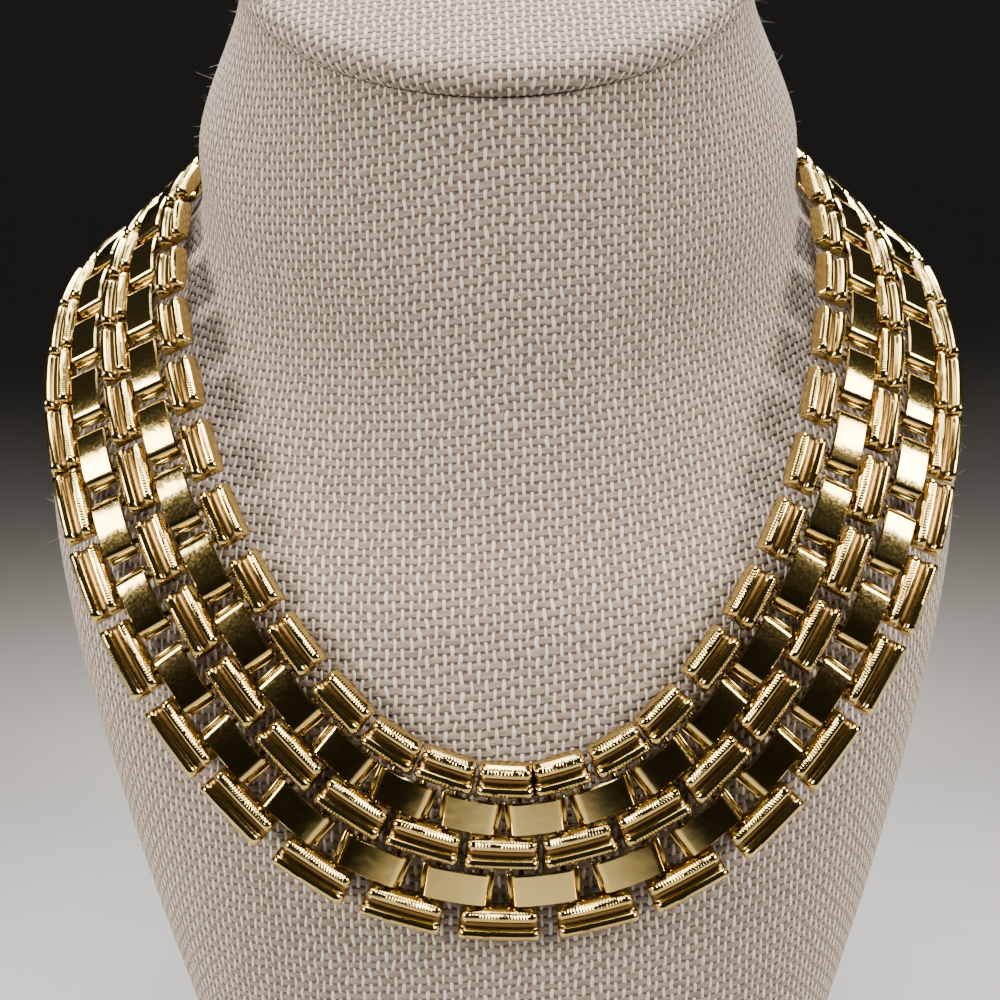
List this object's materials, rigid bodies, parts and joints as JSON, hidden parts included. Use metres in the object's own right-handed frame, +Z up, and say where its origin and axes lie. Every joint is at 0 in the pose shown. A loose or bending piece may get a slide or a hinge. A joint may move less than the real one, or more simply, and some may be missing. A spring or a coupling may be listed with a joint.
{
  "type": "collar choker necklace on a neck bust",
  "caption": "Wide flexible collar of ribbed and smooth gold links hinged on cross pins, closed by a box clasp at the nape, worn round a linen-covered neck bust.",
  "frame": {"origin": "bottom centre of the whole object's box, on the surface that the bust stands on", "axes": "+Z up; the front of the collar and bust faces -Y; +X is the wearer's left"},
  "size_m": [0.1516, 0.1215, 0.226],
  "materials": {
    "gold": "polished gold plating over brass",
    "linen": "plain-woven grey-beige linen over a stiff core"
  },
  "bodies": {
    "root": {"neck_bust": "linen", "link_column_right_18": "gold", "link_column_right_17": "gold", "link_column_right_16": "gold", "link_column_right_15": "gold", "link_column_right_14": "gold", "link_column_right_13": "gold", "link_column_right_12": "gold", "link_column_right_11": "gold", "link_column_right_10": "gold", "link_column_right_09": "gold", "link_column_right_08": "gold", "link_column_right_07": "gold", "link_column_right_06": "gold", "link_column_right_05": "gold", "link_column_right_04": "gold", "link_column_right_03": "gold", "link_column_right_02": "gold", "link_column_right_01": "gold", "link_column_front": "gold", "link_column_left_01": "gold", "link_column_left_02": "gold", "link_column_left_03": "gold", "link_column_left_04": "gold", "link_column_left_05": "gold", "link_column_left_06": "gold", "link_column_left_07": "gold", "link_column_left_08": "gold", "link_column_left_09": "gold", "link_column_left_10": "gold", "link_column_left_11": "gold", "link_column_left_12": "gold", "link_column_left_13": "gold", "link_column_left_14": "gold", "link_column_left_15": "gold", "link_column_left_16": "gold", "link_column_left_17": "gold", "link_column_left_18": "gold", "box_clasp": "gold"}
  },
  "joints": []
}
